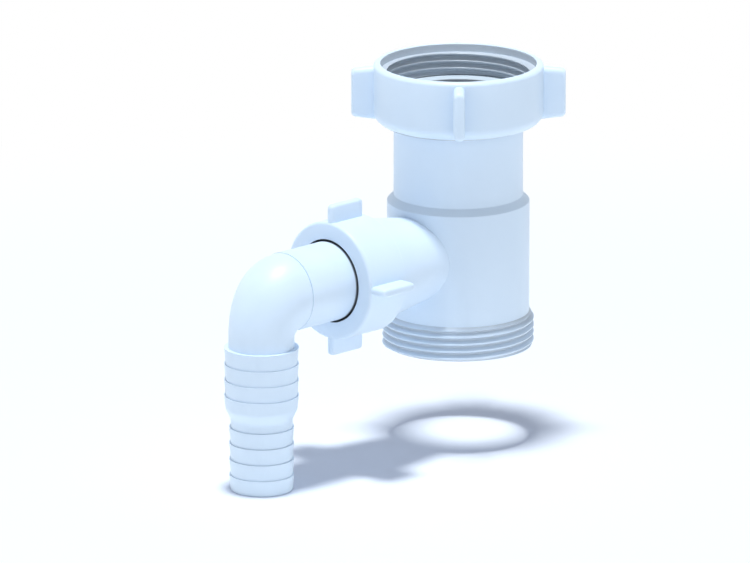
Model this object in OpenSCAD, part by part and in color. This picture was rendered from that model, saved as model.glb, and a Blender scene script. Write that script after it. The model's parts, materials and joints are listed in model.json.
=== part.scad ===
// Washing machine waste branch.
// A moulded tee for the waste pipe under a sink, with a captive coupling nut on top, a threaded
// outlet below and a swivelling barbed hose elbow held on its side branch by a winged nut.
// Millimetres. The main run stands along Z with the outlet end on z = 0, and the branch points to -X.

/* [Main run] */
// Outer diameter of the main pipe thread, the same size on the outlet and in the coupling nut
main_thread_d = 47.8; // [46:0.1:54]
// Pitch of both pipe threads, eleven turns to the inch
thread_pitch = 2.309; // [1.6:0.001:2.6]
// Length of the outlet thread at its full diameter
outlet_thread_l = 9.6; // [6:0.1:12]
// Bevel on the outlet end, which leads the thread in
outlet_bevel = 0.45; // [0.2:0.05:1]
// Height of the wide lower body, up to its sloping shoulder
body_h = 46.8; // [46:0.1:60]
// Step in from the wide body to the upper pipe, on the radius
pipe_step = 2.07; // [1:0.01:4]
// Length of the upper pipe, from the body's shoulder to the underside of its flange
pipe_l = 28.2; // [24:0.1:50]
// Wall thickness of the body and the pipe
tee_wall = 3; // [2:0.1:3.6]
// Thickness of the flange that the coupling nut pulls up
pipe_flange_t = 3.5; // [2:0.1:5]

/* [Branch] */
// Height of the branch's axis above the outlet end
branch_z = 31.2; // [30.5:0.1:34]
// Outer diameter of the branch thread
branch_thread_d = 33.2; // [32:0.1:36]
// Length of the branch thread, from the boss's shoulder to its mouth
branch_thread_l = 8.3; // [6:0.1:12]
// Distance from the run's axis to the boss's shoulder, where the thread starts
boss_reach = 42; // [36:0.1:50]
// Step from the branch thread out to the edge of the boss
boss_lip = 0.2; // [0.1:0.05:1]
// Diameter of the boss where it leaves the body
boss_foot_d = 27.4; // [26.4:0.1:30]
// Bore through the branch and its seal
branch_bore_d = 22; // [19:0.1:24]

/* [Coupling nut] */
// Height of the coupling nut
coupling_h = 19.2; // [18:0.1:26]
// Wall of the coupling nut outside its thread
coupling_wall = 2.85; // [2:0.05:4]
// Thickness of the coupling nut's end, which pulls on the flange
coupling_end_t = 3; // [2.6:0.1:4]
// Radius on the lower outer edge of the coupling nut
coupling_round = 4; // [1:0.1:5]
// Radius on the outer edge of the coupling nut's rim
rim_round = 1.3; // [0.4:0.1:1.6]
// Depth of the plain entry above the coupling nut's thread
entry_depth = 2.5; // [1:0.1:4]
// How far the plain entry is wider than the thread, on the radius
entry_step = 0.6; // [0.2:0.05:1]

/* [Branch nut] */
// Wall of the branch nut outside its thread
branch_nut_wall = 2; // [1.6:0.05:3]
// Thickness of the branch nut's end, which pulls on the elbow's flange
branch_nut_end_t = 2.7; // [2:0.1:4]
// Radius on the outer edge of the branch nut's end
branch_nut_round = 1; // [0.3:0.1:1.5]

/* [Wings] */
// Number of wings round each nut
wing_count = 4; // [2:1:8]
// Thickness of the coupling nut's wings
coupling_wing_t = 3.6; // [2.6:0.1:5]
// How far the coupling nut's wings stand out from it
coupling_wing_reach = 6.9; // [4:0.1:10]
// How far each wing stops short of both ends of the coupling nut
coupling_wing_inset = 1.6; // [1:0.1:3]
// Thickness of the branch nut's wings
branch_wing_t = 2.7; // [2.2:0.1:4]
// How far the branch nut's wing tips stand outside the width of the main thread
branch_wing_margin = 0.3; // [0:0.1:3]
// How far each wing stops short of the branch nut's open rim
branch_wing_inset = 1.2; // [0.3:0.1:2]
// How far each wing stops short of the branch nut's end
branch_wing_end_inset = 0.3; // [0.2:0.1:2]
// Radius on the outer corners of a wing
wing_corner = 1.2; // [0.5:0.1:1.3]
// Slope of the coupling nut's wings, which get lower towards their tips, in degrees
coupling_wing_draft = 5; // [0:0.5:8]

/* [Seals] */
// Thickness of the flat seal in the coupling nut
coupling_seal_t = 3; // [2:0.1:4]
// Thickness of the flat seal behind the elbow's flange
branch_seal_t = 2; // [1.5:0.1:3]

/* [Hose elbow] */
// Outer diameter of the elbow's level leg
leg_d = 25; // [23:0.1:26]
// Wall thickness of the level leg
leg_wall = 2.2; // [1.6:0.1:3]
// Length of the level leg, from its flange's face to the mould seam before the bend
leg_l = 24.1; // [16:0.1:40]
// Thickness of the leg's flange
leg_flange_t = 2.5; // [2:0.1:4]
// Radius on the inside of the bend
bend_inner_r = 0.25; // [0.2:0.05:6]
// Step down from the leg to the bend at the mould seam
seam_step = 0.12; // [0.05:0.01:0.3]
// Outer diameter of the tail just below the bend
tail_d = 20.5; // [19:0.1:22]
// Length of plain tail above the first barb
tail_plain_l = 2.85; // [1:0.05:8]
// Bore of the hose tail
tail_bore_d = 15; // [12:0.1:16]
// Widest diameter of the upper barbs, for the larger hose
large_barb_d = 23.2; // [22.6:0.1:25]
// Widest diameter of the lower barbs, for the smaller hose
small_barb_d = 20.2; // [19:0.1:21]
// Number of upper barbs
large_barbs = 4; // [2:1:6]
// Number of lower barbs
small_barbs = 4; // [2:1:6]
// Distance from one barb to the next
barb_pitch = 5.1; // [4:0.1:7]
// How far a barb narrows towards the hose's end, on the radius
barb_depth = 0.43; // [0.2:0.01:0.8]
// Radius on the outer edge of the tail's open end
tail_end_round = 0.55; // [0.2:0.05:1]

/* [Fits] */
// Gap between a turning piece and the round wall that guides it
running_gap = 0.1; // [0.05:0.01:0.1]
// Gap that lets a flange pass through the thread of its nut
flange_gap = 0.24; // [0.15:0.01:0.4]
// Gap round the elbow's leg in the end of the branch nut
leg_gap = 0.7; // [0.3:0.05:1]
// Gap between the two engaged branch threads, on the radius
thread_gap = 0.1; // [0.05:0.01:0.2]
// Gap between the rim of the branch nut and the boss
nut_rim_gap = 0.2; // [0.1:0.05:1]
// Height between the coupling seal and the start of its nut's thread
seal_gap = 0.2; // [0.1:0.05:1]

/* [Hidden] */
$fn = 96;

moulding_colour = [0.84, 0.90, 0.97];
seal_colour = [0.90, 0.93, 0.95];

// How far a cutting shape runs past the face it opens
past = 1;
// How far the faceted bend reaches into the round tubes at its two ends
bend_root = 0.5;
// Step that keeps the faceted bend just inside the tail's round wall
bend_tuck = 0.05;
// Half the flat left along the middle of a wing's rounded edge
wing_edge_flat = 0.1;
// Points on a quarter-round edge
edge_steps = 8;
// Sections along the bend and sides round it, outside and inside
bend_steps = 16;
bend_sides = 64;
passage_steps = 10;
passage_sides = 36;

// Pipe threads: depth from crest to root for the fifty-five degree form
thread_depth = 0.640327 * thread_pitch;
main_crest_r = main_thread_d / 2;
main_root_r = main_crest_r - thread_depth;
branch_crest_r = branch_thread_d / 2;
branch_root_r = branch_crest_r - thread_depth;

// Main run, from the outlet end up
body_r = main_root_r;
pipe_r = body_r - pipe_step;
pipe_flange_z = body_h + pipe_l;
tee_h = pipe_flange_z + pipe_flange_t;
pipe_flange_r = main_root_r - flange_gap;
pipe_bore_r = pipe_r - tee_wall;
body_bore_r = body_r - tee_wall;
// A forty-five degree shoulder keeps its wall when its inside starts this much lower
inner_shoulder_z = body_h - tee_wall * tan(22.5);

// Coupling nut
coupling_z = pipe_flange_z - coupling_end_t - running_gap;
coupling_top_z = coupling_z + coupling_h;
coupling_r = main_crest_r + coupling_wall;
coupling_relief_z = tee_h + coupling_seal_t + seal_gap;
coupling_thread_top_z = coupling_top_z - entry_depth;

// Branch, measured from the run's axis
branch_mouth = boss_reach + branch_thread_l;
leg_start = branch_mouth + branch_seal_t;
branch_nut_start = boss_reach + nut_rim_gap;
branch_nut_shelf = leg_start + leg_flange_t;
branch_nut_end = branch_nut_shelf + branch_nut_end_t;
branch_nut_bore_r = branch_crest_r + thread_gap;
branch_nut_r = branch_nut_bore_r + branch_nut_wall;
branch_wing_reach = main_crest_r + branch_wing_margin - branch_nut_r;
leg_flange_r = branch_root_r - flange_gap;

// Hose elbow: the bend turns about a corner below the leg and beside the tail
leg_r = leg_d / 2;
tail_r = tail_d / 2;
leg_end = leg_start + leg_l;
corner_z = branch_z - leg_r - bend_inner_r;
tail_x = leg_end + bend_inner_r + tail_r;
barbs_top_z = corner_z - tail_plain_l;
large_barb_r = large_barb_d / 2;
small_barb_r = small_barb_d / 2;
small_barbs_z = barbs_top_z - (large_barbs + 1) * barb_pitch;
tail_end_z = small_barbs_z - small_barbs * barb_pitch;
// Where the last upper barb starts and ends its sweep in to the lower ones, as shares of one pitch
// below its edge
sweep_start = 0.69;
sweep_end = 1.63;
sweep_steps = 10;

// Points along an arc about a centre
function arc(centre, r, from, to, steps = edge_steps) =
    [for (i = [0:steps]) let (a = from + (to - from) * i / steps) centre + r * [cos(a), sin(a)]];

// Eases from one value to another, level at both ends
function ease(from, to, t) = from + (to - from) * t * t * (3 - 2 * t);

// Stands its children on the branch's axis: their Z runs out along the branch
module on_branch() translate([0, 0, branch_z]) rotate([0, -90, 0]) children();

// A tube's outline turned round Z, from a list of [radius, height] points
module turned(points) rotate_extrude() polygon(points);

// A plain washer that stands on z
module washer(z, outer_r, inner_r, thickness) translate([0, 0, z]) difference() {
    cylinder(r = outer_r, h = thickness);
    translate([0, 0, -past]) cylinder(r = inner_r, h = thickness + 2 * past);
}

// One wing: a plate that stands out along X, with rounded outer corners and rounded long edges.
// root_r is buried in the nut, hub_r is the nut's outside, and z0 and z1 are its ends at the hub.
// Both ends lean in by lean at the tip.
module wing(root_r, hub_r, reach, z0, z1, thickness, lean) {
    tip = hub_r + reach;
    edge_r = min(thickness / 2 - wing_edge_flat, wing_corner);
    intersection() {
        rotate([90, 0, 0])
            linear_extrude(height = thickness, center = true)
                polygon(concat(
                    [[root_r, z1], [root_r, z0], [hub_r, z0]],
                    arc([tip - wing_corner, z0 + lean + wing_corner], wing_corner, -90, 0),
                    arc([tip - wing_corner, z1 - lean - wing_corner], wing_corner, 0, 90),
                    [[hub_r, z1]]));
        rotate([90, 0, 90])
            linear_extrude(height = tip + past)
                polygon(concat(
                    arc([thickness / 2 - edge_r, z0 + edge_r], edge_r, -90, 0),
                    arc([thickness / 2 - edge_r, z1 - edge_r], edge_r, 0, 90),
                    arc([edge_r - thickness / 2, z1 - edge_r], edge_r, 90, 180),
                    arc([edge_r - thickness / 2, z0 + edge_r], edge_r, 180, 270)));
    }
}

// The wings round a nut, the first one turned by first_angle
module wings(first_angle, root_r, hub_r, reach, z0, z1, thickness, lean = 0)
    for (i = [0:wing_count - 1])
        rotate([0, 0, first_angle + 360 * i / wing_count])
            wing(root_r, hub_r, reach, z0, z1, thickness, lean);

// Outside of the main run: threaded outlet, body, shoulder, pipe and flange
module run_outside() turned([
    [0, 0],
    [main_crest_r - outlet_bevel, 0],
    [main_crest_r, outlet_bevel],
    [main_crest_r, outlet_thread_l],
    [body_r, outlet_thread_l + thread_depth],
    [body_r, body_h],
    [pipe_r, body_h + pipe_step],
    [pipe_r, pipe_flange_z],
    [pipe_flange_r, pipe_flange_z],
    [pipe_flange_r, tee_h],
    [0, tee_h]]);

module run_bore() turned([
    [0, -past],
    [body_bore_r, -past],
    [body_bore_r, inner_shoulder_z],
    [pipe_bore_r, inner_shoulder_z + pipe_step],
    [pipe_bore_r, tee_h + past],
    [0, tee_h + past]]);

// Boss that widens from the body to its shoulder, and the threaded stub beyond it
module branch_outside() turned([
    [0, 0],
    [boss_foot_d / 2, 0],
    [boss_foot_d / 2, body_r],
    [branch_crest_r + boss_lip, boss_reach],
    [branch_crest_r, boss_reach],
    [branch_crest_r, branch_mouth - outlet_bevel],
    [branch_crest_r - outlet_bevel, branch_mouth],
    [0, branch_mouth]]);

module tee_body() color(moulding_colour) difference() {
    union() {
        run_outside();
        on_branch() branch_outside();
    }
    run_bore();
    on_branch() cylinder(d = branch_bore_d, h = branch_mouth + past);
}

// Captive nut, bored to the root of its thread's mate: end wall, relief round the flange, thread
module coupling_nut() color(moulding_colour) difference() {
    union() {
        turned(concat(
            [[0, coupling_z]],
            arc([coupling_r - coupling_round, coupling_z + coupling_round], coupling_round, -90, 0),
            arc([coupling_r - rim_round, coupling_top_z - rim_round], rim_round, 0, 90),
            [[0, coupling_top_z]]));
        wings(45, main_crest_r + coupling_wall / 2, coupling_r, coupling_wing_reach,
            coupling_z + coupling_wing_inset, coupling_top_z - coupling_wing_inset, coupling_wing_t,
            coupling_wing_reach * tan(coupling_wing_draft));
    }
    turned([
        [0, coupling_z - past],
        [pipe_r + running_gap, coupling_z - past],
        [pipe_r + running_gap, coupling_z + coupling_end_t],
        [main_crest_r, coupling_z + coupling_end_t],
        [main_crest_r, coupling_relief_z],
        [main_root_r, coupling_relief_z],
        [main_root_r, coupling_thread_top_z],
        [main_crest_r + entry_step, coupling_thread_top_z],
        [main_crest_r + entry_step, coupling_top_z + past],
        [0, coupling_top_z + past]]);
}

module coupling_seal() color(seal_colour)
    washer(tee_h, pipe_flange_r, pipe_bore_r, coupling_seal_t);

// Winged nut that clamps the elbow's flange and seal to the branch's mouth
module branch_nut() color(moulding_colour) on_branch() difference() {
    union() {
        turned(concat(
            [[0, branch_nut_start], [branch_nut_r, branch_nut_start]],
            arc([branch_nut_r - branch_nut_round, branch_nut_end - branch_nut_round],
                branch_nut_round, 0, 90),
            [[0, branch_nut_end]]));
        wings(0, branch_nut_r - branch_nut_wall / 2, branch_nut_r, branch_wing_reach,
            branch_nut_start + branch_wing_inset, branch_nut_end - branch_wing_end_inset, branch_wing_t);
    }
    turned([
        [0, branch_nut_start - past],
        [branch_nut_bore_r, branch_nut_start - past],
        [branch_nut_bore_r, branch_nut_shelf],
        [leg_r + leg_gap, branch_nut_shelf],
        [leg_r + leg_gap, branch_nut_end + past],
        [0, branch_nut_end + past]]);
}

module branch_seal() color(seal_colour) on_branch()
    washer(branch_mouth, leg_flange_r, branch_bore_d / 2, branch_seal_t);

// Centre of the bend's section at turn t, from 0 at the leg to 1 at the tail, on the plane y = 0
function bend_centre(t) =
    let (out = ease(leg_r, tail_r, t) + bend_inner_r)
    [-leg_end - out * sin(90 * t), 0, corner_z + out * cos(90 * t)];

// Ring of points round the bend at turn t, moved along the tube by shift
function bend_ring(t, r, sides, shift = 0) =
    let (
        centre = bend_centre(t) + shift * [-cos(90 * t), 0, -sin(90 * t)],
        outward = [-sin(90 * t), 0, cos(90 * t)])
    [for (k = [0:sides - 1]) let (a = 360 * k / sides) centre + r * (cos(a) * outward + [0, sin(a), 0])];

// The tube's bend as one solid whose round section narrows from r_leg to r_tail as it turns
module bend(r_leg, r_tail, steps, sides) {
    rings = concat(
        [bend_ring(0, r_leg, sides, -bend_root)],
        [for (i = [0:steps]) bend_ring(i / steps, ease(r_leg, r_tail, i / steps), sides)],
        [bend_ring(1, r_tail, sides, bend_root)]);
    last = len(rings) - 1;
    polyhedron(
        points = [for (ring = rings) for (p = ring) p],
        faces = concat(
            [[for (k = [0:sides - 1]) k]],
            [for (i = [0:last - 1]) for (k = [0:sides - 1]) let (next = (k + 1) % sides)
                [i * sides + k, (i + 1) * sides + k, (i + 1) * sides + next, i * sides + next]],
            [[for (k = [sides - 1:-1:0]) last * sides + k]]));
}

// Saw-tooth outline of a group of barbs, each widest at its top
function barbs(top_z, r, count) =
    [for (i = [0:count - 1]) each [
        [r, top_z - i * barb_pitch],
        [r - barb_depth, top_z - (i + 1) * barb_pitch]]];

// Outline of the upper group, whose last barb sweeps in to the width of the lower group
function large_group() =
    let (
        last_z = barbs_top_z - (large_barbs - 1) * barb_pitch,
        z0 = last_z - sweep_start * barb_pitch,
        z1 = last_z - sweep_end * barb_pitch,
        r0 = large_barb_r - barb_depth * sweep_start,
        r1 = small_barb_r - barb_depth)
    concat(
        barbs(barbs_top_z, large_barb_r, large_barbs - 1),
        [[large_barb_r, last_z]],
        [for (i = [0:sweep_steps]) [ease(r0, r1, i / sweep_steps), z0 + (z1 - z0) * i / sweep_steps]],
        [[r1, small_barbs_z]]);

module tail_outside() translate([-tail_x, 0, 0]) turned(concat(
    [[0, corner_z], [tail_r, corner_z], [tail_r, barbs_top_z]],
    large_group(),
    barbs(small_barbs_z, small_barb_r, small_barbs - 1),
    [[small_barb_r, tail_end_z + barb_pitch]],
    arc([small_barb_r - barb_depth - tail_end_round, tail_end_z + tail_end_round],
        tail_end_round, 0, -90),
    [[0, tail_end_z]]));

// Swivelling elbow: flange and level leg, narrowing bend, barbed tail
module hose_elbow() color(moulding_colour) difference() {
    union() {
        on_branch() turned([
            [0, leg_start],
            [leg_flange_r, leg_start],
            [leg_flange_r, branch_nut_shelf],
            [leg_r, branch_nut_shelf],
            [leg_r, leg_end],
            [0, leg_end]]);
        bend(leg_r - seam_step, tail_r - bend_tuck, bend_steps, bend_sides);
        tail_outside();
    }
    on_branch() translate([0, 0, leg_start - past]) cylinder(r = leg_r - leg_wall, h = leg_l + past);
    bend(leg_r - leg_wall - bend_tuck, tail_bore_d / 2 - bend_tuck, passage_steps, passage_sides);
    translate([-tail_x, 0, tail_end_z - past])
        cylinder(d = tail_bore_d, h = corner_z - tail_end_z + past);
}

tee_body();
coupling_nut();
coupling_seal();
branch_nut();
branch_seal();
hose_elbow();
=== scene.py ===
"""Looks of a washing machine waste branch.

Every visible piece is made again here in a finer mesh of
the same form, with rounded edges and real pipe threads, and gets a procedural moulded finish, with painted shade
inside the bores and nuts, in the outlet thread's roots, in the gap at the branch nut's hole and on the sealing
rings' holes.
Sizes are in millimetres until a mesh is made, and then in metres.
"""
import json
from math import cos, pi, radians, sin, tan

import bpy
from mathutils import Matrix, Vector


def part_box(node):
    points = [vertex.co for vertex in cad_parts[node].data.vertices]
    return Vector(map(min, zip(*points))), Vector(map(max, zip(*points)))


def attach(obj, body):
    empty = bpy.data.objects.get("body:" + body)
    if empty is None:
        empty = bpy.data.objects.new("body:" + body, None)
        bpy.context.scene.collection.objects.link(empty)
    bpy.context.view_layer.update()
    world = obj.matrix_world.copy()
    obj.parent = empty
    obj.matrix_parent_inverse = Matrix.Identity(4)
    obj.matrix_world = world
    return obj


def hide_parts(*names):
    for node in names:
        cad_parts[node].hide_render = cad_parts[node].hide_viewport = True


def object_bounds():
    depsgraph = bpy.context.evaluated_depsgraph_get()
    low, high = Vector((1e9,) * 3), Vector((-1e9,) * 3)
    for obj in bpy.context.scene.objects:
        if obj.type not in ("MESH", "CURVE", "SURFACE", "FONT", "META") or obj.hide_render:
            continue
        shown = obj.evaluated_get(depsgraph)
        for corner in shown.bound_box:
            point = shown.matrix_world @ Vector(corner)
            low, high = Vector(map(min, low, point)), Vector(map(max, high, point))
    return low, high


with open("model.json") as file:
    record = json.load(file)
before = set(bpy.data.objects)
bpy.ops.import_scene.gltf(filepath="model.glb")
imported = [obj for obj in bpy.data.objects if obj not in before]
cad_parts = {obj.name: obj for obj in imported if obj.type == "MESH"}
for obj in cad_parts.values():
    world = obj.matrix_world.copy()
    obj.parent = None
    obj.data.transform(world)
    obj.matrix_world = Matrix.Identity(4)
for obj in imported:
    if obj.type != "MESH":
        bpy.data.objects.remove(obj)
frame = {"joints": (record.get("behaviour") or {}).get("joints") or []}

CAD_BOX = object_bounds()
MM = 0.001

# Sizes that the frame gives


def frame_box(node):
    """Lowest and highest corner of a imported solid, in millimetres."""
    low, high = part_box(node)
    return low / MM, high / MM


def joint_place(name):
    """Place of one of the joints, in millimetres."""
    found = next(j for j in frame["joints"] if j["name"] == name)
    return Vector(found["pos_m"]) / MM


tee_low, tee_high = frame_box("tee_body")
nut_low, nut_high = frame_box("coupling_nut")
seal_low, seal_high = frame_box("coupling_seal")
branch_nut_low, branch_nut_high = frame_box("branch_nut")
branch_seal_low, branch_seal_high = frame_box("branch_seal")
elbow_low, elbow_high = frame_box("hose_elbow")

# Pipe thread of the fifty-five degree form, eleven turns to the inch
THREAD_PITCH = 2.309
THREAD_DEPTH = 0.640327 * THREAD_PITCH
THREAD_FLANK = radians(27.5)
THREAD_EASE = 0.42
NUT_THREAD_EASE = 0.22

# Main run
crest_r = tee_high.x
root_r = crest_r - THREAD_DEPTH
tee_top = tee_high.z
pipe_r = root_r - 2.07
WALL = 3.0
FLANGE_T = 3.5
BODY_H = 46.8
COLLAR_H = 9.6
OUTLET_BEVEL = 0.45
OUTLET_LEAD = 0.94
OUTLET_THREAD_TOP = 10.4
flange_r = seal_high.x
flange_z = tee_top - FLANGE_T
bore_r = root_r - WALL
pipe_bore_r = pipe_r - WALL
shoulder = root_r - pipe_r
inner_shoulder_z = BODY_H - WALL * tan(pi / 8)

# Branch, measured along its own axis from the middle of the run
branch_z = joint_place("elbow_swivel").z
branch_mouth = -tee_low.x
BRANCH_THREAD_L = 8.3
BRANCH_THREAD_R = 16.6
BOSS_LIP = 0.2
BOSS_FOOT_R = 13.7
BRANCH_BORE_R = 11.0
boss_reach = branch_mouth - BRANCH_THREAD_L

# Coupling nut
nut_r = nut_high.x
nut_bottom = nut_low.z
nut_top = nut_high.z
NUT_END_T = 3.0
NUT_ROUND = 4.0
RIM_ROUND = 1.3
ENTRY_DEPTH = 2.5
ENTRY_STEP = 0.6
NUT_GAP = 0.1
NUT_LEAD = 86.83
entry_z = nut_top - ENTRY_DEPTH
relief_z = seal_high.z + 0.2

# Branch nut, measured along the branch's axis
branch_nut_start = -branch_nut_high.x
branch_nut_end = -branch_nut_low.x
BRANCH_NUT_END_T = 2.7
BRANCH_NUT_R = 18.7
BRANCH_NUT_WALL = 2.0
BRANCH_NUT_ROUND = 1.0
LEG_GAP = 0.7
HOLE_EDGE = 0.06
branch_wing_tip = branch_nut_high.y

# Wings
WING_COUNT = 4
WING_TIP_EDGE = 0.8
WING_RIDGE = 0.02
NUT_WING_T = 3.6
NUT_WING_REACH = 6.9
NUT_WING_INSET = 0.85
NUT_WING_LOW_LEAN = 1.1
NUT_WING_HIGH_LEAN = 0.85
NUT_WING_ROOT = 2.1
NUT_WING_CORNER = 1.5
BRANCH_WING_T = 2.7
BRANCH_WING_ROOT = 1.4
BRANCH_WING_CORNER = 1.2
BRANCH_WING_INSET = 1.2
BRANCH_WING_END_INSET = 0.3

# Hose elbow
leg_start = -elbow_high.x
LEG_R = 12.5
LEG_WALL = 2.2
LEG_FLANGE_T = 2.5
LEG_L = 24.1
BEND_INNER_R = 0.25
SEAM_STEP = 0.12
SEAM_DEPTH = 0.4
SEAM_SHARES = (0.0, 0.004, 0.009)
TAIL_R = 10.25
TAIL_BORE_R = 7.5
TAIL_PLAIN_L = 2.85
BARB_PITCH = 5.1
BARB_DEPTH = 0.43
LARGE_BARB_R = 11.6
SMALL_BARB_R = 10.1
LARGE_BARBS = 4
SMALL_BARBS = 4
BARB_EDGE = 0.15
TAIL_END_ROUND = 0.55
SWEEP_START = 0.69
SWEEP_END = 1.63
leg_end = leg_start + LEG_L
corner_z = branch_z - LEG_R - BEND_INNER_R
tail_x = leg_end + BEND_INNER_R + TAIL_R
barbs_top = corner_z - TAIL_PLAIN_L
small_barbs_top = barbs_top - (LARGE_BARBS + 1) * BARB_PITCH
tail_end = elbow_low.z

# Meshing
ROUND_SIDES = 288
ELBOW_SIDES = 160
THREAD_ROW = 0.1
ARC_STEP = radians(15)
SMOOTH_ANGLE = radians(28)
PAST = 1.0
EDGE = 0.25


# Outlines


def rounded(corners, steps=None):
    """Points of a closed outline. Each corner is (x, z) or (x, z, radius of its round).

    A round gets the given steps, or else as many as its own turn needs.
    """
    points = []
    count = len(corners)
    for i, corner in enumerate(corners):
        here = Vector(corner[:2])
        if len(corner) < 3:
            points.append(here)
            continue
        back = (Vector(corners[i - 1][:2]) - here).normalized()
        on = (Vector(corners[(i + 1) % count][:2]) - here).normalized()
        half = back.angle(on) / 2
        middle = here + (back + on).normalized() * corner[2] / sin(half)
        start = here + back * corner[2] / tan(half) - middle
        turn = start.angle_signed(here + on * corner[2] / tan(half) - middle)
        count_on = steps or max(2, round(abs(turn) / ARC_STEP))
        for k in range(count_on + 1):
            points.append(middle + Matrix.Rotation(-turn * k / count_on, 2) @ start)
    return points


def ladder(x_low, z_low, x_high, z_high, row):
    """Points from one place to another, one row apart, without the last."""
    steps = round(abs(z_high - z_low) / row)
    return [
        (x_low + (x_high - x_low) * k / steps, z_low + (z_high - z_low) * k / steps)
        for k in range(steps)
    ]


# Meshes


def make_object(name, points, faces):
    """A mesh object from points in millimetres."""
    mesh = bpy.data.meshes.new(name)
    mesh.from_pydata([Vector(p) * MM for p in points], [], faces)
    mesh.validate()
    made = bpy.data.objects.new(name, mesh)
    bpy.context.scene.collection.objects.link(made)
    return made


def turned(name, outline, sides=ROUND_SIDES):
    """A closed outline of (radius, height) points, turned round Z.

    An outline that starts and ends on the axis makes a solid, and any other makes a ring.
    """
    points = []
    rows = []
    for radius, height in outline:
        if radius < 1e-6:
            rows.append([len(points)] * sides)
            points.append((0, 0, height))
            continue
        rows.append(list(range(len(points), len(points) + sides)))
        angles = [2 * pi * k / sides for k in range(sides)]
        points += [(radius * cos(a), radius * sin(a), height) for a in angles]
    faces = []
    for i, row in enumerate(rows):
        above = rows[(i + 1) % len(rows)]
        for k in range(sides):
            n = (k + 1) % sides
            ring = dict.fromkeys((row[k], row[n], above[n], above[k]))
            if len(ring) > 2:
                faces.append(tuple(ring))
    return make_object(name, points, faces)


def lofted(name, rings):
    """A closed tube through rings of points, the last joined to the first."""
    sides = len(rings[0])
    points = [p for ring in rings for p in ring]
    faces = []
    for i in range(len(rings)):
        here = i * sides
        above = (i + 1) % len(rings) * sides
        for k in range(sides):
            n = (k + 1) % sides
            faces.append((here + k, here + n, above + n, above + k))
    return make_object(name, points, faces)


def evaluated_mesh(thing):
    """Puts an object's modifiers into its mesh and takes them off."""
    bpy.context.view_layer.update()
    graph = bpy.context.evaluated_depsgraph_get()
    mesh = bpy.data.meshes.new_from_object(thing.evaluated_get(graph))
    thing.modifiers.clear()
    thing.data = mesh
    return thing


def combined(thing, other, operation):
    """Adds another closed mesh to an object, or cuts it away, and deletes the other."""
    modifier = thing.modifiers.new(operation, "BOOLEAN")
    modifier.operation = operation
    modifier.solver = "MANIFOLD"
    modifier.object = other
    before = len(thing.data.vertices)
    evaluated_mesh(thing)
    if len(thing.data.vertices) == before:
        raise RuntimeError(f"{operation} of {thing.name} and {other.name} changed nothing")
    bpy.data.objects.remove(other)
    return thing


def on_branch(thing):
    """Turns a mesh made round Z onto the branch's axis, so that its heights run out along it."""
    thing.data.transform(Matrix.Translation((0, 0, branch_z * MM)) @ Matrix.Rotation(-pi / 2, 4, "Y"))
    return thing


# Node trees


def add_node(tree, kind, inputs=(), **settings):
    """A node with its settings, and with its inputs as values or as other nodes' outputs."""
    made = tree.nodes.new(kind)
    for name, value in settings.items():
        setattr(made, name, value)
    for socket, value in dict(inputs).items():
        if isinstance(value, bpy.types.NodeSocket):
            tree.links.new(value, made.inputs[socket])
        else:
            made.inputs[socket].default_value = value
    return made


def calc(tree, operation, *values):
    """Output of a math node."""
    return add_node(tree, "ShaderNodeMath", enumerate(values), operation=operation).outputs[0]


def new_tree(name, sizes):
    """A geometry tree with a geometry, a material and named sizes for inputs."""
    tree = bpy.data.node_groups.new(name, "GeometryNodeTree")
    tree.interface.new_socket("Geometry", in_out="INPUT", socket_type="NodeSocketGeometry")
    for size, kind in sizes.items():
        tree.interface.new_socket(size, in_out="INPUT", socket_type="NodeSocket" + kind)
    tree.interface.new_socket("Material", in_out="INPUT", socket_type="NodeSocketMaterial")
    tree.interface.new_socket("Geometry", in_out="OUTPUT", socket_type="NodeSocketGeometry")
    return tree, tree.nodes.new("NodeGroupInput").outputs


def end_tree(tree, geometry, material):
    """Realizes the instances, sets the material and gives the result."""
    real = add_node(tree, "GeometryNodeRealizeInstances", {"Geometry": geometry}).outputs[0]
    dressed = add_node(tree, "GeometryNodeSetMaterial", {"Geometry": real, "Material": material})
    output = tree.nodes.new("NodeGroupOutput")
    tree.links.new(dressed.outputs[0], output.inputs[0])
    return tree


def grown(thing, tree, **inputs):
    """Runs a geometry tree on an object and keeps the result as a plain mesh."""
    modifier = thing.modifiers.new(tree.name, "NODES")
    modifier.node_group = tree
    for item in tree.interface.items_tree:
        key = item.name.lower().replace(" ", "_")
        if item.in_out == "INPUT" and key in inputs:
            modifier[item.identifier] = inputs[key]
    return evaluated_mesh(thing)


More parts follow.
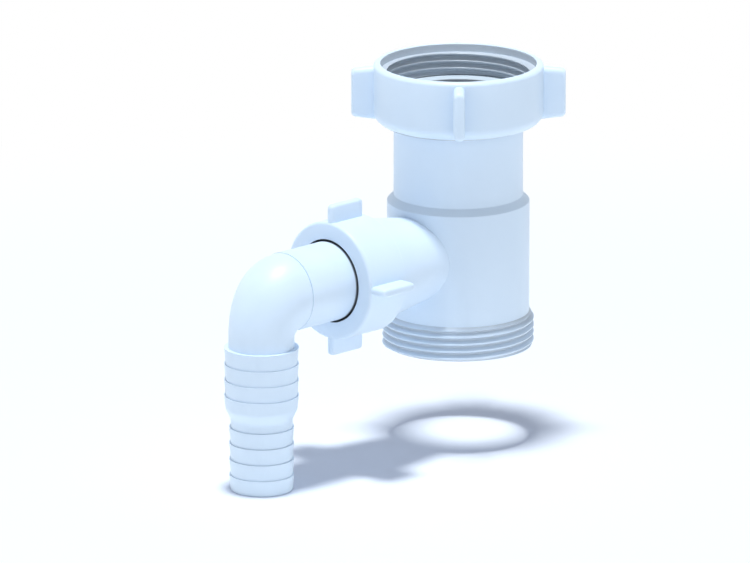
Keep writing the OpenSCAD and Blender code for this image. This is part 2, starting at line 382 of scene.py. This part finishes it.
def thread_tree():
    """Cuts a helical thread into a round wall by moving its points in or out.

    Side is 1 where the thread is cut into the outside of a pipe and -1 where it is cut into a bore.
    The groove is deepest where the height passes Lead plus one pitch for each turn.
    """
    tree, sizes = new_tree("Pipe thread", {
        "Pitch": "Float", "Depth": "Float", "Crest radius": "Float", "Side": "Float", "Lead": "Float",
        "Ease": "Float", "Top": "Float", "Fade": "Float"})
    place = add_node(tree, "GeometryNodeInputPosition").outputs[0]
    split = add_node(tree, "ShaderNodeSeparateXYZ", {0: place}).outputs
    radius = calc(tree, "SQRT", calc(tree, "MULTIPLY_ADD", split[0], split[0],
                                     calc(tree, "MULTIPLY", split[1], split[1])))
    turn = calc(tree, "DIVIDE", calc(tree, "ARCTAN2", split[1], split[0]), 2 * pi)
    height = calc(tree, "DIVIDE", calc(tree, "SUBTRACT", split[2], sizes["Lead"]), sizes["Pitch"])
    phase = calc(tree, "SUBTRACT", height, turn)
    off = calc(tree, "MULTIPLY", calc(tree, "SUBTRACT", phase, calc(tree, "ROUND", phase)), sizes["Pitch"])
    middle = calc(tree, "SUBTRACT", split[2], off)
    # Height of the flank above the root, eased where it meets the root and the crest
    from_middle = calc(tree, "MULTIPLY_ADD", sizes["Pitch"], -0.25, calc(tree, "ABSOLUTE", off))
    flank = calc(tree, "MULTIPLY_ADD", from_middle, 1 / tan(THREAD_FLANK),
                 calc(tree, "MULTIPLY", sizes["Depth"], 0.5))
    lower = calc(tree, "SMOOTH_MAX", flank, 0.0, sizes["Ease"])
    flank = calc(tree, "SMOOTH_MIN", lower, sizes["Depth"], sizes["Ease"])
    below = calc(tree, "SUBTRACT", sizes["Depth"], flank)
    start = calc(tree, "SUBTRACT", sizes["Top"], sizes["Fade"])
    fade = add_node(tree, "ShaderNodeMapRange", {
        "Value": middle, "From Min": start, "From Max": sizes["Top"], "To Min": 1.0, "To Max": 0.0,
    }, interpolation_type="SMOOTHSTEP").outputs[0]
    cut = calc(tree, "MULTIPLY", below, fade)
    # Compared with the side's sign, so that one minimum serves a pipe and a bore
    limit = calc(tree, "SUBTRACT", calc(tree, "MULTIPLY", sizes["Crest radius"], sizes["Side"]), cut)
    signed = calc(tree, "MINIMUM", calc(tree, "MULTIPLY", radius, sizes["Side"]), limit)
    factor = calc(tree, "DIVIDE", calc(tree, "MULTIPLY", signed, sizes["Side"]), radius)
    joined = add_node(tree, "ShaderNodeCombineXYZ", {
        0: calc(tree, "MULTIPLY", split[0], factor),
        1: calc(tree, "MULTIPLY", split[1], factor), 2: split[2]}).outputs[0]
    moved = add_node(tree, "GeometryNodeSetPosition", {"Geometry": sizes["Geometry"], "Position": joined})
    return end_tree(tree, moved.outputs[0], sizes["Material"])


def wing_tree():
    """Sets copies of one wing evenly round Z."""
    tree, sizes = new_tree("Ring of wings", {"Count": "Int", "First angle": "Float"})
    points = add_node(tree, "GeometryNodeMeshLine", {"Count": sizes["Count"], "Offset": (0, 0, 0)}).outputs[0]
    share = calc(tree, "DIVIDE", add_node(tree, "GeometryNodeInputIndex").outputs[0], sizes["Count"])
    angle = calc(tree, "MULTIPLY_ADD", share, 2 * pi, sizes["First angle"])
    turn = add_node(tree, "ShaderNodeCombineXYZ", {2: angle}).outputs[0]
    copies = add_node(tree, "GeometryNodeInstanceOnPoints", {
        "Points": points, "Instance": sizes["Geometry"], "Rotation": turn})
    return end_tree(tree, copies.outputs[0], sizes["Material"])


def barb_tree():
    """Gives a plain tail a group of saw-tooth barbs, each widest at its upper edge."""
    tree, sizes = new_tree("Hose barbs", {
        "Axis": "Vector", "Top": "Float", "Pitch": "Float", "Count": "Int", "Widest radius": "Float",
        "Depth": "Float", "Edge": "Float"})
    place = add_node(tree, "GeometryNodeInputPosition").outputs[0]
    local = add_node(tree, "ShaderNodeVectorMath", {0: place, 1: sizes["Axis"]}, operation="SUBTRACT").outputs[0]
    split = add_node(tree, "ShaderNodeSeparateXYZ", {0: local}).outputs
    radius = calc(tree, "SQRT", calc(tree, "MULTIPLY_ADD", split[0], split[0],
                                     calc(tree, "MULTIPLY", split[1], split[1])))
    down = calc(tree, "SUBTRACT", sizes["Top"], split[2])
    barb = calc(tree, "FLOOR", calc(tree, "DIVIDE", down, sizes["Pitch"]))
    below_edge = calc(tree, "SUBTRACT", down, calc(tree, "MULTIPLY", barb, sizes["Pitch"]))
    slope = calc(tree, "DIVIDE", calc(tree, "MULTIPLY", below_edge, sizes["Depth"]), sizes["Pitch"])
    # The edge's own small round, as a drop that fades within its depth
    near = calc(tree, "MAXIMUM", calc(tree, "SUBTRACT", sizes["Edge"], below_edge), 0.0)
    drop = calc(tree, "SUBTRACT", sizes["Edge"], calc(tree, "SQRT", calc(
        tree, "SUBTRACT", calc(tree, "MULTIPLY", sizes["Edge"], sizes["Edge"]),
        calc(tree, "MULTIPLY", near, near))))
    wanted = calc(tree, "SUBTRACT", calc(tree, "SUBTRACT", sizes["Widest radius"], slope), drop)
    inside = calc(tree, "MULTIPLY", calc(tree, "GREATER_THAN", barb, -0.5),
                  calc(tree, "LESS_THAN", barb, calc(tree, "SUBTRACT", sizes["Count"], 0.5)))
    outer = calc(tree, "GREATER_THAN", radius, TAIL_R * MM - EDGE * MM)
    chosen = calc(tree, "MULTIPLY", inside, outer)
    factor = calc(tree, "DIVIDE", wanted, radius)
    joined = add_node(tree, "ShaderNodeCombineXYZ", {
        0: calc(tree, "MULTIPLY", split[0], factor),
        1: calc(tree, "MULTIPLY", split[1], factor), 2: split[2]}).outputs[0]
    back = add_node(tree, "ShaderNodeVectorMath", {0: joined, 1: sizes["Axis"]}, operation="ADD").outputs[0]
    moved = add_node(tree, "GeometryNodeSetPosition", {
        "Geometry": sizes["Geometry"], "Selection": chosen, "Position": back})
    return end_tree(tree, moved.outputs[0], sizes["Material"])


# Materials

WHITE = (0.70, 0.825, 0.975)
WHITE_SHADE = (0.685, 0.812, 0.965)
# Painted shade for the inside of the tee's bore and of the coupling nut
INSIDE_SHADE_GREY = (0.55, 0.61, 0.68)
# Painted shade for the roots of the outlet thread
ROOT_SHADE_GREY = (0.57, 0.64, 0.72)
# Painted shade for the gap at the branch nut's hole: on the hole's wall and on the elbow's leg where it goes in
GAP_SHADE_GREY = (0.10, 0.11, 0.13)
RING_WHITE = (0.60, 0.68, 0.74)
# Painted shade for the wall of a sealing ring's hole
RING_HOLE_SHADE_GREY = (0.30, 0.33, 0.37)
SOFTNESS = 0.06
GAP_MIDDLE = 3.0


def groove_depth(tree, place):
    """How deep a point lies in the outlet's thread, from 0 at the crests to 1 at the roots."""
    height = add_node(tree, "ShaderNodeSeparateXYZ", {0: place}).outputs[2]
    flat = add_node(tree, "ShaderNodeVectorMath", {0: place, 1: (1, 1, 0)}, operation="MULTIPLY").outputs[0]
    radius = add_node(tree, "ShaderNodeVectorMath", {0: flat}, operation="LENGTH").outputs["Value"]
    depth = add_node(tree, "ShaderNodeMapRange", {
        "Value": radius, "From Min": crest_r * MM, "From Max": root_r * MM}).outputs[0]
    below = calc(tree, "LESS_THAN", height, (COLLAR_H + THREAD_DEPTH) * MM)
    outside = calc(tree, "GREATER_THAN", radius, (root_r - EDGE) * MM)
    return calc(tree, "MULTIPLY", depth, calc(tree, "MULTIPLY", below, outside))


def moulded_material(name, roughness, grain, shade_colour, shade_reach, centre, across, blend, shaded_roots=False):
    """A satin moulding: faint clouds in its colour and gloss, slow waves and a fine skin in its surface.

    A wall gets painted shade, the given darker colour, where it lies within the given radius of the centre,
    counted only in the directions for which across has a 1. When asked, the outlet thread's roots get painted
    shade too.
    """
    material = bpy.data.materials.new(name)
    material.use_nodes = True
    tree = material.node_tree
    tree.nodes.clear()
    place = add_node(tree, "ShaderNodeTexCoord").outputs["Object"]
    clouds = add_node(tree, "ShaderNodeTexNoise", {
        "Vector": place, "Scale": 70.0, "Detail": 3.0, "Roughness": 0.5}).outputs[0]
    skin = add_node(tree, "ShaderNodeTexNoise", {
        "Vector": place, "Scale": grain, "Detail": 2.0, "Roughness": 0.6}).outputs[0]
    waves = add_node(tree, "ShaderNodeTexNoise", {
        "Vector": place, "Scale": 210.0, "Detail": 1.0, "Roughness": 0.4}).outputs[0]
    tint = add_node(tree, "ShaderNodeValToRGB", {"Fac": clouds})
    tint.color_ramp.elements[0].position = 0.35
    tint.color_ramp.elements[0].color = (*WHITE_SHADE, 1)
    tint.color_ramp.elements[1].position = 0.65
    tint.color_ramp.elements[1].color = (*WHITE, 1)
    # Painted shade: walls within the given radius of the centre take the darker colour
    local = add_node(tree, "ShaderNodeVectorMath", {
        0: place, 1: Vector(centre) * MM}, operation="SUBTRACT").outputs[0]
    square = add_node(tree, "ShaderNodeVectorMath", {0: local, 1: across}, operation="MULTIPLY").outputs[0]
    radius = add_node(tree, "ShaderNodeVectorMath", {0: square}, operation="LENGTH").outputs["Value"]
    outer = add_node(tree, "ShaderNodeMapRange", {
        "Value": radius, "From Min": (shade_reach - blend) * MM, "From Max": (shade_reach + blend) * MM},
        interpolation_type="SMOOTHSTEP").outputs[0]
    wall_colour = add_node(tree, "ShaderNodeMixRGB", {
        "Fac": outer, "Color1": (*shade_colour, 1), "Color2": tint.outputs[0]}).outputs[0]
    # Painted shade in the outlet thread's roots, darkest at the root and none on the crests
    if shaded_roots:
        wall_colour = add_node(tree, "ShaderNodeMixRGB", {
            "Fac": groove_depth(tree, place), "Color1": wall_colour, "Color2": (*ROOT_SHADE_GREY, 1)}).outputs[0]
    gloss = add_node(tree, "ShaderNodeMapRange", {
        "Value": calc(tree, "MULTIPLY_ADD", skin, 0.5, calc(tree, "MULTIPLY", clouds, 0.5)),
        "From Min": 0.3, "From Max": 0.7, "To Min": roughness - 0.04, "To Max": roughness + 0.05}).outputs[0]
    slow = add_node(tree, "ShaderNodeBump", {"Height": waves, "Strength": 0.12, "Distance": 0.0002}).outputs[0]
    fine = add_node(tree, "ShaderNodeBump", {
        "Height": skin, "Normal": slow, "Strength": 0.1, "Distance": 0.00004}).outputs[0]
    shader = add_node(tree, "ShaderNodeBsdfPrincipled", {
        "Base Color": wall_colour, "Roughness": gloss, "Normal": fine, "IOR": 1.49,
        "Subsurface Weight": SOFTNESS, "Subsurface Radius": (1.0, 1.0, 1.0), "Subsurface Scale": 0.0012})
    output = tree.nodes.new("ShaderNodeOutputMaterial")
    tree.links.new(shader.outputs[0], output.inputs[0])
    return material


def sealing_material(name):
    """A soft, dull ring with a faint mottle, and painted shade on the wall of its hole."""
    material = bpy.data.materials.new(name)
    material.use_nodes = True
    tree = material.node_tree
    tree.nodes.clear()
    place = add_node(tree, "ShaderNodeTexCoord").outputs["Object"]
    mottle = add_node(tree, "ShaderNodeTexNoise", {
        "Vector": place, "Scale": 900.0, "Detail": 3.0, "Roughness": 0.6}).outputs[0]
    # Painted shade on the wall of the hole, fading out over its first 0.3 mm
    flat = add_node(tree, "ShaderNodeVectorMath", {0: place, 1: (1, 1, 0)}, operation="MULTIPLY").outputs[0]
    radius = add_node(tree, "ShaderNodeVectorMath", {0: flat}, operation="LENGTH").outputs["Value"]
    face = add_node(tree, "ShaderNodeMapRange", {
        "Value": radius, "From Min": pipe_bore_r * MM, "From Max": (pipe_bore_r + 0.3) * MM}).outputs[0]
    plain = add_node(tree, "ShaderNodeMixRGB", {
        "Fac": face, "Color1": (*RING_HOLE_SHADE_GREY, 1), "Color2": (*RING_WHITE, 1)}).outputs[0]
    colour = add_node(tree, "ShaderNodeHueSaturation", {
        "Color": plain, "Value": calc(tree, "MULTIPLY_ADD", mottle, 0.08, 0.96)}).outputs[0]
    bump = add_node(tree, "ShaderNodeBump", {"Height": mottle, "Strength": 0.2, "Distance": 0.00005}).outputs[0]
    shader = add_node(tree, "ShaderNodeBsdfPrincipled", {
        "Base Color": colour, "Roughness": 0.62, "Normal": bump, "IOR": 1.45})
    output = tree.nodes.new("ShaderNodeOutputMaterial")
    tree.links.new(shader.outputs[0], output.inputs[0])
    return material


MAIN_AXIS = ((0, 0, 0), (1, 1, 0))
BRANCH_AXIS = ((0, 0, branch_z), (0, 1, 1))
NUT_MOUTH = ((GAP_MIDDLE - branch_nut_end, 0, 0), (1, 0, 0))
# Painted shade inside the tee's bore and in its outlet thread's roots
MOULDING = moulded_material(
    "Satin moulding", 0.42, 1900.0, INSIDE_SHADE_GREY, bore_r + 0.2, *MAIN_AXIS, 0.05, shaded_roots=True)
# Painted shade on the elbow's leg where it goes into the branch nut's hole, fading out over a short band
ELBOW_MOULDING = moulded_material(
    "Satin elbow moulding", 0.42, 1900.0, GAP_SHADE_GREY, GAP_MIDDLE + 0.3, *NUT_MOUTH, 0.4)
# Painted shade inside the coupling nut, on its thread and entry
NUT_MOULDING = moulded_material(
    "Satin nut moulding", 0.4, 1700.0, INSIDE_SHADE_GREY, crest_r + ENTRY_STEP + 0.1, *MAIN_AXIS, 0.05)
# Painted shade on the wall of the branch nut's hole
BRANCH_NUT_MOULDING = moulded_material(
    "Satin branch nut moulding", 0.4, 1700.0, GAP_SHADE_GREY, LEG_R + LEG_GAP + 0.05, *BRANCH_AXIS, 0.05)
SEALING = sealing_material("Soft sealing ring")


# Pieces

threads = thread_tree()
wings = wing_tree()
barbs = barb_tree()


def threaded(thing, side, crest, lead, top, fade, ease, material):
    """Cuts the pipe thread into one wall of a turned piece."""
    return grown(
        thing, threads, pitch=THREAD_PITCH * MM, depth=THREAD_DEPTH * MM, crest_radius=crest * MM,
        side=side, lead=lead * MM, ease=ease * MM, top=top * MM, fade=fade * MM, material=material)


def make_tee():
    """The one-piece tee: threaded outlet, body, shoulder, pipe, flange and branch stub."""
    collar = ladder(crest_r, OUTLET_BEVEL, crest_r, COLLAR_H, THREAD_ROW)
    chamfer = ladder(crest_r, COLLAR_H, root_r, COLLAR_H + THREAD_DEPTH, THREAD_ROW)
    lead_in = ladder(crest_r - OUTLET_BEVEL, 0, crest_r, OUTLET_BEVEL, THREAD_ROW)
    upper = rounded([
        (0, 0),
        (root_r, COLLAR_H + THREAD_DEPTH),
        (root_r, BODY_H, 0.5),
        (pipe_r, BODY_H + shoulder, 0.5),
        (pipe_r, flange_z, EDGE),
        (flange_r, flange_z, EDGE),
        (flange_r, tee_top, EDGE),
        (0, tee_top)])
    tee = turned("tee", [upper[0], *lead_in, *collar, *chamfer, *upper[1:]])
    threaded(tee, 1.0, crest_r, OUTLET_LEAD, OUTLET_THREAD_TOP, 0.35, THREAD_EASE, MOULDING)
    boss = turned("boss", rounded([
        (0, 0),
        (BOSS_FOOT_R, 0),
        (BOSS_FOOT_R, root_r),
        (BRANCH_THREAD_R + BOSS_LIP, boss_reach, 0.08),
        (BRANCH_THREAD_R, boss_reach),
        (BRANCH_THREAD_R, branch_mouth - OUTLET_BEVEL),
        (BRANCH_THREAD_R - OUTLET_BEVEL, branch_mouth),
        (0, branch_mouth)]))
    combined(tee, on_branch(boss), "UNION")
    bore = turned("bore", [
        (0, -PAST),
        (bore_r, -PAST),
        (bore_r, inner_shoulder_z),
        (pipe_bore_r, inner_shoulder_z + shoulder),
        (pipe_bore_r, tee_top + PAST),
        (0, tee_top + PAST)])
    combined(tee, bore, "DIFFERENCE")
    way = turned("way", [
        (0, 0),
        (BRANCH_BORE_R, 0),
        (BRANCH_BORE_R, branch_mouth + PAST),
        (0, branch_mouth + PAST)])
    return combined(tee, on_branch(way), "DIFFERENCE")


def round_drop(radius, inset):
    """How far a rounded edge lies below its top, at a distance in from its side."""
    short = max(0, radius - inset)
    return radius - (radius * radius - short * short) ** 0.5


def wing_plate(root, tip, low, high, low_lean, high_lean, thickness, edge, corner):
    """One wing along X: a plate with rounded outer corners and rounded long edges.

    Low and high are its heights at the root, and towards the tip the two lean in.
    """
    steps = 9
    layers = []
    for side in (-1, 1):
        for k in range(steps):
            angle = pi / 2 * (k if side > 0 else steps - 1 - k) / (steps - 1)
            y = side * (thickness / 2 - edge + edge * sin(angle))
            drop = edge * (1 - cos(angle))
            pull = round_drop(WING_TIP_EDGE, thickness / 2 - abs(y))
            outline = rounded([
                (root, low + drop),
                (tip - pull, low + drop + low_lean, corner),
                (tip - pull, high - drop - high_lean, corner),
                (root, high - drop)], steps=6)
            layers.append([(p.x, y, p.y) for p in outline])
    size = len(layers[0])
    points = [p for layer in layers for p in layer]
    faces = [tuple(range(size)), tuple(reversed(range(len(points) - size, len(points))))]
    for i in range(len(layers) - 1):
        for k in range(size):
            n = (k + 1) % size
            faces.append((i * size + n, i * size + k, (i + 1) * size + k, (i + 1) * size + n))
    return make_object("wing", points, faces)


def make_coupling_nut():
    """The captive nut: rounded shell, four wings, plain entry and a real female thread."""
    thread = ladder(root_r, entry_z, root_r, relief_z, THREAD_ROW)
    shell = rounded([
        (pipe_r + NUT_GAP, nut_bottom, EDGE),
        (nut_r, nut_bottom, NUT_ROUND),
        (nut_r, nut_top, RIM_ROUND),
        (crest_r + ENTRY_STEP, nut_top, EDGE),
        (crest_r + ENTRY_STEP, entry_z),
        (root_r, entry_z)])
    inside = rounded([
        (root_r, relief_z),
        (crest_r, relief_z),
        (crest_r, nut_bottom + NUT_END_T),
        (pipe_r + NUT_GAP, nut_bottom + NUT_END_T, EDGE)])
    nut = turned("nut", [*shell[:-1], *thread, *inside])
    threaded(nut, -1.0, root_r, NUT_LEAD, entry_z + 2 * THREAD_PITCH, 0.3, NUT_THREAD_EASE, NUT_MOULDING)
    plate = wing_plate(
        nut_r - NUT_WING_ROOT, nut_r + NUT_WING_REACH, nut_bottom + NUT_WING_INSET, nut_top - NUT_WING_INSET,
        NUT_WING_LOW_LEAN, NUT_WING_HIGH_LEAN, NUT_WING_T, NUT_WING_T / 2 - WING_RIDGE, NUT_WING_CORNER)
    ring = grown(plate, wings, count=WING_COUNT, first_angle=pi / 4, material=NUT_MOULDING)
    return combined(nut, ring, "UNION")


def make_branch_nut():
    """The nut that holds the elbow: shell, end wall and four wings."""
    shell = rounded([
        (BRANCH_NUT_R - BRANCH_NUT_WALL, branch_nut_start),
        (BRANCH_NUT_R, branch_nut_start, EDGE),
        (BRANCH_NUT_R, branch_nut_end, BRANCH_NUT_ROUND),
        (LEG_R + LEG_GAP, branch_nut_end, HOLE_EDGE),
        (LEG_R + LEG_GAP, branch_nut_end - BRANCH_NUT_END_T),
        (BRANCH_NUT_R - BRANCH_NUT_WALL, branch_nut_end - BRANCH_NUT_END_T)])
    nut = turned("branch_nut_piece", shell)
    plate = wing_plate(
        BRANCH_NUT_R - BRANCH_WING_ROOT, branch_wing_tip, branch_nut_start + BRANCH_WING_INSET,
        branch_nut_end - BRANCH_WING_END_INSET, 0, 0, BRANCH_WING_T, BRANCH_WING_CORNER, BRANCH_WING_CORNER)
    ring = grown(plate, wings, count=WING_COUNT, first_angle=0.0, material=BRANCH_NUT_MOULDING)
    return on_branch(combined(nut, ring, "UNION"))


def make_seal(name, outer, inner, low, high):
    """A flat sealing ring with softly rounded edges."""
    return turned(name, rounded([
        (inner, low, 0.4), (outer, low, 0.4), (outer, high, 0.4), (inner, high, 0.4)]))


def eased(start, end, share):
    """Goes from one value to another, level at both ends."""
    return start + (end - start) * share * share * (3 - 2 * share)


def elbow_ring(centre, outward, radius):
    """A ring of the elbow on the plane that holds its outward direction and Y."""
    angles = [2 * pi * k / ELBOW_SIDES for k in range(ELBOW_SIDES)]
    return [centre + radius * (cos(a) * outward + sin(a) * Vector((0, 1, 0))) for a in angles]


def leg_ring(along, radius):
    return elbow_ring(Vector((-along, 0, branch_z)), Vector((0, 0, 1)), radius)


def bend_ring(share, radius):
    """A ring of the bend, whose planes all turn about the line inside the corner."""
    angle = pi / 2 * share
    outward = Vector((-sin(angle), 0, cos(angle)))
    reach = eased(LEG_R, TAIL_R, share) + BEND_INNER_R
    return elbow_ring(Vector((-leg_end, 0, corner_z)) + reach * outward, outward, radius)


def tail_ring(height, radius):
    return elbow_ring(Vector((-tail_x, 0, height)), Vector((-1, 0, 0)), radius)


def tail_rows():
    """Heights and radii of the tail's outside, before its barbs grow."""
    hair = 0.01
    shares = (0, 0.006, 0.015, 0.03, 0.05, 0.1, 0.3, 0.6, 0.9)
    rows = [(corner_z, TAIL_R), (barbs_top + 0.3, TAIL_R), (barbs_top + hair, TAIL_R)]
    last = barbs_top - (LARGE_BARBS - 1) * BARB_PITCH
    for i in range(LARGE_BARBS - 1):
        top = barbs_top - i * BARB_PITCH
        rows += [(top - s * BARB_PITCH, LARGE_BARB_R) for s in shares]
        rows.append((top - BARB_PITCH + hair, LARGE_BARB_R))
    rows += [(last - s * BARB_PITCH, LARGE_BARB_R - BARB_DEPTH * s) for s in shares[:-2]]
    sweep_top = last - SWEEP_START * BARB_PITCH
    sweep_low = last - SWEEP_END * BARB_PITCH
    wide = LARGE_BARB_R - BARB_DEPTH * SWEEP_START
    thin = SMALL_BARB_R - BARB_DEPTH
    steps = 16
    for k in range(steps + 1):
        rows.append((sweep_top + (sweep_low - sweep_top) * k / steps, eased(wide, thin, k / steps)))
    rows.append((small_barbs_top + hair, thin))
    for i in range(SMALL_BARBS):
        top = small_barbs_top - i * BARB_PITCH
        rows += [(top - s * BARB_PITCH, SMALL_BARB_R) for s in shares]
        if i < SMALL_BARBS - 1:
            rows.append((top - BARB_PITCH + hair, SMALL_BARB_R))
    return rows


def make_elbow():
    """The swivelling elbow, one tube from its flange through the bend to the hose's end."""
    bend_steps = 48
    bore_steps = 24
    lip_steps = 6
    flange_r = branch_seal_high.y
    outside = rounded([
        (0, leg_start),
        (flange_r, leg_start, EDGE),
        (flange_r, leg_start + LEG_FLANGE_T, EDGE),
        (LEG_R, leg_start + LEG_FLANGE_T, EDGE),
        (LEG_R, leg_end, 0.06),
        (0, leg_end)])[1:-1]
    rings = [leg_ring(z, r) for r, z in outside]
    rings += [bend_ring(share, LEG_R - SEAM_DEPTH) for share in SEAM_SHARES[:-1]]
    for share in (SEAM_SHARES[-1], *(k / bend_steps for k in range(1, bend_steps + 1))):
        rings.append(bend_ring(share, eased(LEG_R - SEAM_STEP, TAIL_R, share)))
    rings += [tail_ring(z, r) for z, r in tail_rows()[1:]]
    lip = SMALL_BARB_R - BARB_DEPTH
    for k in range(lip_steps + 1):
        angle = pi / 2 * k / lip_steps
        rings.append(tail_ring(
            tail_end + TAIL_END_ROUND * (1 - sin(angle)), lip - TAIL_END_ROUND * (1 - cos(angle))))
    rings.append(tail_ring(tail_end, TAIL_BORE_R + EDGE))
    rings.append(tail_ring(tail_end + EDGE, TAIL_BORE_R))
    for k in range(bore_steps + 1):
        share = 1 - k / bore_steps
        rings.append(bend_ring(share, eased(LEG_R - LEG_WALL, TAIL_BORE_R, share)))
    rings.append(leg_ring(leg_start, LEG_R - LEG_WALL))
    elbow = lofted("elbow", rings)
    groups = ((barbs_top, LARGE_BARB_R, LARGE_BARBS - 1), (small_barbs_top, SMALL_BARB_R, SMALL_BARBS))
    for top, widest, count in groups:
        grown(elbow, barbs, axis=(-tail_x * MM, 0, 0), top=top * MM, pitch=BARB_PITCH * MM, count=count,
              widest_radius=widest * MM, depth=BARB_DEPTH * MM, edge=BARB_EDGE * MM, material=ELBOW_MOULDING)
    return elbow


def dressed(piece, name, node, body, material, slot):
    """Shades a piece, sets its material and lets it stand for its solid on its body."""
    piece.name = name
    piece.data.name = name
    piece.data.materials.clear()
    piece.data.materials.append(material)
    piece.data.shade_smooth()
    piece.data.set_sharp_from_angle(angle=SMOOTH_ANGLE)
    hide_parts(node)
    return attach(piece, body)


dressed(make_tee(), "waste_tee", "tee_body", "tee", MOULDING, "white_moulding")
dressed(make_coupling_nut(), "winged_coupling_nut", "coupling_nut", "coupling", NUT_MOULDING, "white_moulding")
dressed(
    make_seal("seal", seal_high.x, pipe_bore_r, seal_low.z, seal_high.z),
    "coupling_sealing_ring", "coupling_seal", "tee", SEALING, "white_seal")
dressed(
    make_branch_nut(), "winged_branch_nut", "branch_nut", "tee", BRANCH_NUT_MOULDING, "white_moulding")
dressed(
    on_branch(make_seal("seal", branch_seal_high.y, BRANCH_BORE_R, -branch_seal_high.x, -branch_seal_low.x)),
    "branch_sealing_ring", "branch_seal", "tee", SEALING, "white_seal")
dressed(make_elbow(), "barbed_hose_elbow", "hose_elbow", "elbow", ELBOW_MOULDING, "white_moulding")


# Stage, light and camera

VIEW_RIGHT = Vector((1, -1, 0)).normalized()
VIEW_AWAY = Vector((1, 1, 0)).normalized()
VIEW_ELEVATION = radians(15.1)
VIEW_DISTANCE = 3.944
VIEW_AIM = (-26.2, 19.3)
LENS_MM = 600.0
SENSOR_MM = 36.0
KEY_DISTANCE = 1.8
KEY_SIZE = 0.26
KEY_LEVEL = 0.95
HORIZON_LEVEL = 1.23
ZENITH_LEVEL = 0.23
HORIZON_TOP = 0.75
COOL_LIGHT = (0.9, 0.95, 1.0)
FLOOR_COLOUR = (0.92, 0.92, 0.92, 1)
FLOOR_SEEN = (0.82, 0.85, 0.90, 1)
FLOOR_COOL = (0.0, 0.01, 0.06, 1)
FLOOR_NEAR = 0.14
FLOOR_FAR = 0.4
FLOOR_HALF = 6.0


def make_camera():
    """The photograph's view: from the branch's side, a little above, with a long lens."""
    forward = VIEW_AWAY * cos(VIEW_ELEVATION) - Vector((0, 0, 1)) * sin(VIEW_ELEVATION)
    up = VIEW_AWAY * sin(VIEW_ELEVATION) + Vector((0, 0, 1)) * cos(VIEW_ELEVATION)
    data = bpy.data.cameras.new("camera")
    data.lens = LENS_MM
    data.sensor_width = SENSOR_MM
    data.clip_end = 100.0
    camera = bpy.data.objects.new("camera", data)
    bpy.context.scene.collection.objects.link(camera)
    aim = (VIEW_AIM[0] * VIEW_RIGHT + VIEW_AIM[1] * up) * MM
    turn = Matrix((VIEW_RIGHT, up, -forward)).transposed()
    camera.matrix_world = Matrix.Translation(aim - VIEW_DISTANCE * forward) @ turn.to_4x4()
    bpy.context.scene.camera = camera


def make_key_light():
    """One soft lamp, almost straight above, a little to the left and towards the camera."""
    data = bpy.data.lights.new("key", "AREA")
    data.shape = "DISK"
    data.size = KEY_SIZE
    data.energy = KEY_LEVEL * (pi * KEY_DISTANCE) ** 2
    data.color = COOL_LIGHT
    lamp = bpy.data.objects.new("key", data)
    bpy.context.scene.collection.objects.link(lamp)
    towards = (Vector((0, 0, 121)) - 3.9 * VIEW_RIGHT - 8.1 * VIEW_AWAY).normalized()
    lamp.location = towards * KEY_DISTANCE
    lamp.rotation_euler = towards.to_track_quat("Z", "Y").to_euler()


def make_world():
    """An even white studio, a little brighter at the horizon than overhead."""
    world = bpy.data.worlds.new("studio")
    bpy.context.scene.world = world
    world.use_nodes = True
    tree = world.node_tree
    tree.nodes.clear()
    direction = add_node(tree, "ShaderNodeTexCoord").outputs["Generated"]
    height = add_node(tree, "ShaderNodeSeparateXYZ", {0: direction}).outputs[2]
    level = add_node(tree, "ShaderNodeMapRange", {
        "Value": height, "From Min": 0.0, "From Max": HORIZON_TOP, "To Min": HORIZON_LEVEL,
        "To Max": ZENITH_LEVEL}).outputs[0]
    studio = add_node(tree, "ShaderNodeBackground", {"Color": (*COOL_LIGHT, 1), "Strength": level}).outputs[0]
    shown = add_node(tree, "ShaderNodeBackground", {"Color": (1, 1, 1, 1), "Strength": 1.0}).outputs[0]
    ray = add_node(tree, "ShaderNodeLightPath").outputs
    mixed = add_node(tree, "ShaderNodeMixShader", {0: ray["Is Camera Ray"], 1: studio, 2: shown}).outputs[0]
    output = tree.nodes.new("ShaderNodeOutputWorld")
    tree.links.new(mixed, output.inputs[0])


def make_floor():
    """A plain pale floor just under the tail. The camera sees it white, with a cool shadow."""
    material = bpy.data.materials.new("Pale floor")
    material.use_nodes = True
    tree = material.node_tree
    tree.nodes.clear()
    plain = add_node(tree, "ShaderNodeBsdfDiffuse", {"Color": FLOOR_COLOUR}).outputs[0]
    warm = add_node(tree, "ShaderNodeBsdfDiffuse", {"Color": FLOOR_SEEN}).outputs[0]
    cool = add_node(tree, "ShaderNodeEmission", {"Color": FLOOR_COOL}).outputs[0]
    near = add_node(tree, "ShaderNodeAddShader", {0: warm, 1: cool}).outputs[0]
    away = add_node(tree, "ShaderNodeVectorMath", {
        0: add_node(tree, "ShaderNodeTexCoord").outputs["Object"]}, operation="LENGTH").outputs["Value"]
    far = add_node(tree, "ShaderNodeMapRange", {
        "Value": away, "From Min": FLOOR_NEAR, "From Max": FLOOR_FAR}, interpolation_type="SMOOTHSTEP").outputs[0]
    white = add_node(tree, "ShaderNodeEmission", {"Color": (1, 1, 1, 1)}).outputs[0]
    seen = add_node(tree, "ShaderNodeMixShader", {0: far, 1: near, 2: white}).outputs[0]
    ray = add_node(tree, "ShaderNodeLightPath").outputs
    mixed = add_node(tree, "ShaderNodeMixShader", {0: ray["Is Camera Ray"], 1: plain, 2: seen}).outputs[0]
    output = tree.nodes.new("ShaderNodeOutputMaterial")
    tree.links.new(mixed, output.inputs[0])
    half = FLOOR_HALF / MM
    level = CAD_BOX[0].z / MM
    corners = [(-half, -half, level), (half, -half, level), (half, half, level), (-half, half, level)]
    floor = make_object("floor", corners, [(0, 1, 2, 3)])
    floor.data.materials.append(material)


make_camera()
make_key_light()
make_world()
make_floor()
bpy.context.scene.view_settings.view_transform = "Standard"
